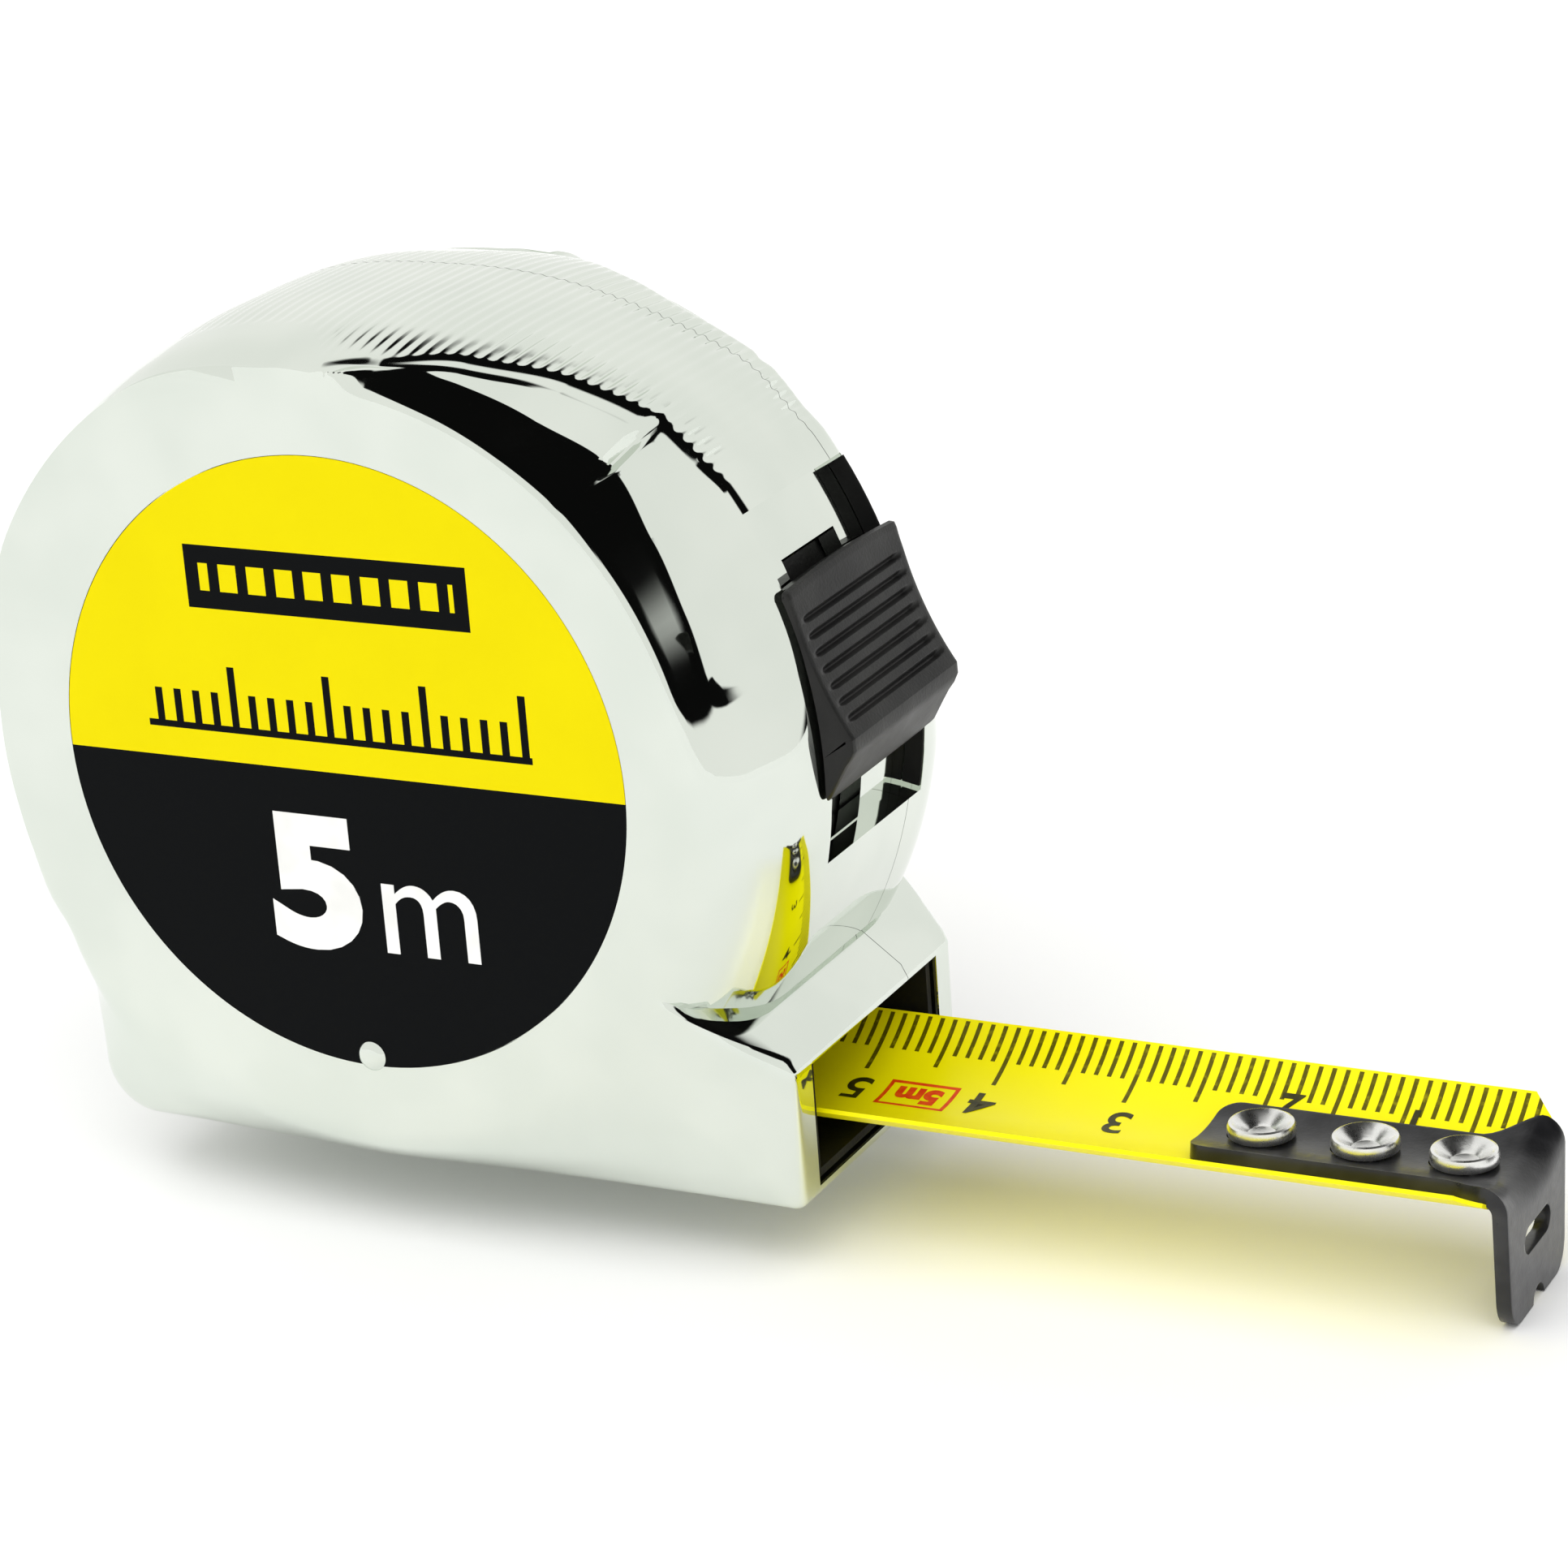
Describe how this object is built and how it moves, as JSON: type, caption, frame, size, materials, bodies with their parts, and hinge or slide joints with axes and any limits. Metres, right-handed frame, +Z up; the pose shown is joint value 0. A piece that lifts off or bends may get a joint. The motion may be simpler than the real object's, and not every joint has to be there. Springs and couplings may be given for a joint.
{
  "type": "tape measure",
  "caption": "Pocket tape measure in a rounded chrome case, with a curved yellow blade drawn out, a sliding end hook, a thumb lock and a belt clip.",
  "frame": {"origin": "on the flat base, under the reel's axis, on the blade's middle plane", "axes": "+X the way the blade runs out, -Y the round label's side, +Y the belt clip's side, +Z up from the base"},
  "size_m": [0.1104, 0.0372, 0.0662],
  "materials": {
    "case_chrome": "bright chrome plating on plastic",
    "label_print": "printed film, upper half yellow, lower half black",
    "black_plastic": "moulded black plastic",
    "zinc_steel": "zinc plated steel",
    "white_nylon": "natural nylon",
    "grey_plastic": "moulded grey plastic",
    "spring_steel": "blued spring steel",
    "blade_paint": "yellow lacquer on spring steel",
    "black_steel": "black finished steel",
    "nickel": "bright nickel plated steel",
    "clip_steel": "bright plated spring steel"
  },
  "bodies": {
    "case": {"left_shell": "case_chrome", "right_shell": "case_chrome", "left_label": "label_print", "right_label": "label_print", "spindle": "black_plastic", "spindle_screw": "zinc_steel", "left_thrust_disc": "white_nylon", "right_thrust_disc": "white_nylon", "blade_lead": "blade_paint", "mouth_liner": "black_plastic", "case_screws": "zinc_steel", "belt_clip": "clip_steel", "clip_screw": "zinc_steel"},
    "reel": {"drum": "grey_plastic", "drum_cover": "grey_plastic", "mainspring": "spring_steel", "blade_roll": "blade_paint"},
    "blade": {"blade_strip": "blade_paint", "hook_rivets": "nickel"},
    "hook": {"hook": "black_steel"},
    "lever": {"thumb_lever": "black_plastic"}
  },
  "joints": [
    {"name": "drum_spin", "type": "hinge", "parent": "case", "child": "reel", "pos_m": [0, 0, 0.031], "axis": [0, 1, 0], "range_deg": [-14, 118]},
    {"name": "blade_pull", "type": "slide", "parent": "case", "child": "blade", "axis": [1, 0, 0], "range_m": [-0.047, 0.0057]},
    {"name": "hook_play", "type": "slide", "parent": "blade", "child": "hook", "axis": [1, 0, 0], "range_m": [0, 0.0011]},
    {"name": "thumb_lock", "type": "hinge", "parent": "case", "child": "lever", "pos_m": [0, 0, 0.031], "axis": [0, -1, 0], "range_deg": [0, 9]}
  ],
  "couplings": [
    {"joint": "blade_pull", "follows": "drum_spin", "m_per_rad": -0.0228}
  ]
}
